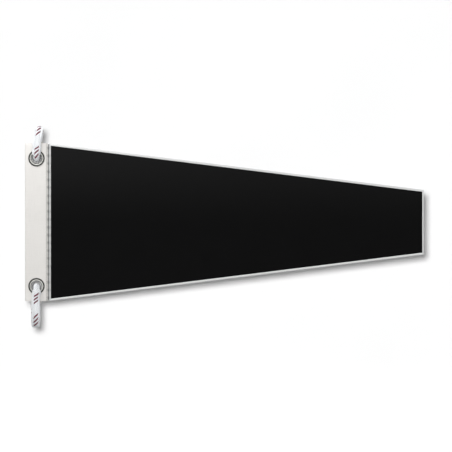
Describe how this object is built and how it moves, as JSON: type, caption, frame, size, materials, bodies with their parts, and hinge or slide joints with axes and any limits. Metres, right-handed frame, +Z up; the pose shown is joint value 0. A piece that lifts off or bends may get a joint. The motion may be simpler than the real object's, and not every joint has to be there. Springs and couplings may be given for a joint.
{
  "type": "tapered signal pennant",
  "caption": "Flat tapered pennant of black cloth with white edge tape, on a stiff header band with rolled metal eyelets and short braided rope loops.",
  "frame": {"origin": "middle of the hoist edge, half way up the header's fold, on the line of the halyard that holds the pennant up", "axes": "+X from the hoist to the fly, +Z up the hoist, -Y out of the front face, which carries the eyelets' rolled rims"},
  "size_m": [0.505, 0.0313, 0.2548],
  "materials": {
    "header_canvas": "matte",
    "stiffener_webbing": "matte",
    "white_tape": "matte",
    "black_cloth": "matte",
    "white_thread": "matte",
    "eyelet_metal": "satin",
    "white_rope": "matte",
    "binding_twine": "matte"
  },
  "bodies": {
    "header": {"header_band": "header_canvas", "header_stiffener": "stiffener_webbing", "field_seam_allowance": "white_tape", "header_seam_thread_front": "white_thread", "header_seam_thread_rear": "white_thread", "upper_eyelet": "eyelet_metal", "upper_eyelet_washer": "eyelet_metal", "lower_eyelet": "eyelet_metal", "lower_eyelet_washer": "eyelet_metal"},
    "fly": {"field_panel": "black_cloth", "hoist_edge_tape": "white_tape", "top_edge_tape": "white_tape", "bottom_edge_tape": "white_tape", "fly_edge_tape": "white_tape", "hoist_tape_thread_front": "white_thread", "hoist_tape_thread_rear": "white_thread", "top_tape_thread_front": "white_thread", "top_tape_thread_rear": "white_thread", "bottom_tape_thread_front": "white_thread", "bottom_tape_thread_rear": "white_thread", "fly_tape_thread_front": "white_thread", "fly_tape_thread_rear": "white_thread"},
    "upper_loop": {"upper_loop_rope": "white_rope", "upper_loop_binding": "binding_twine"},
    "lower_loop": {"lower_loop_rope": "white_rope", "lower_loop_binding": "binding_twine"}
  },
  "joints": [
    {"name": "fly_swing", "type": "hinge", "parent": "header", "child": "fly", "pos_m": [0.03015, 0, 0], "axis": [0, 0, 1], "range_deg": [-90, 90]},
    {"name": "upper_loop_swing", "type": "hinge", "parent": "header", "child": "upper_loop", "pos_m": [0.0145, 0, 0.081], "axis": [0, 1, 0], "range_deg": [-140, 15]},
    {"name": "lower_loop_swing", "type": "hinge", "parent": "header", "child": "lower_loop", "pos_m": [0.0145, 0, -0.081], "axis": [0, 1, 0], "range_deg": [-15, 150]}
  ]
}
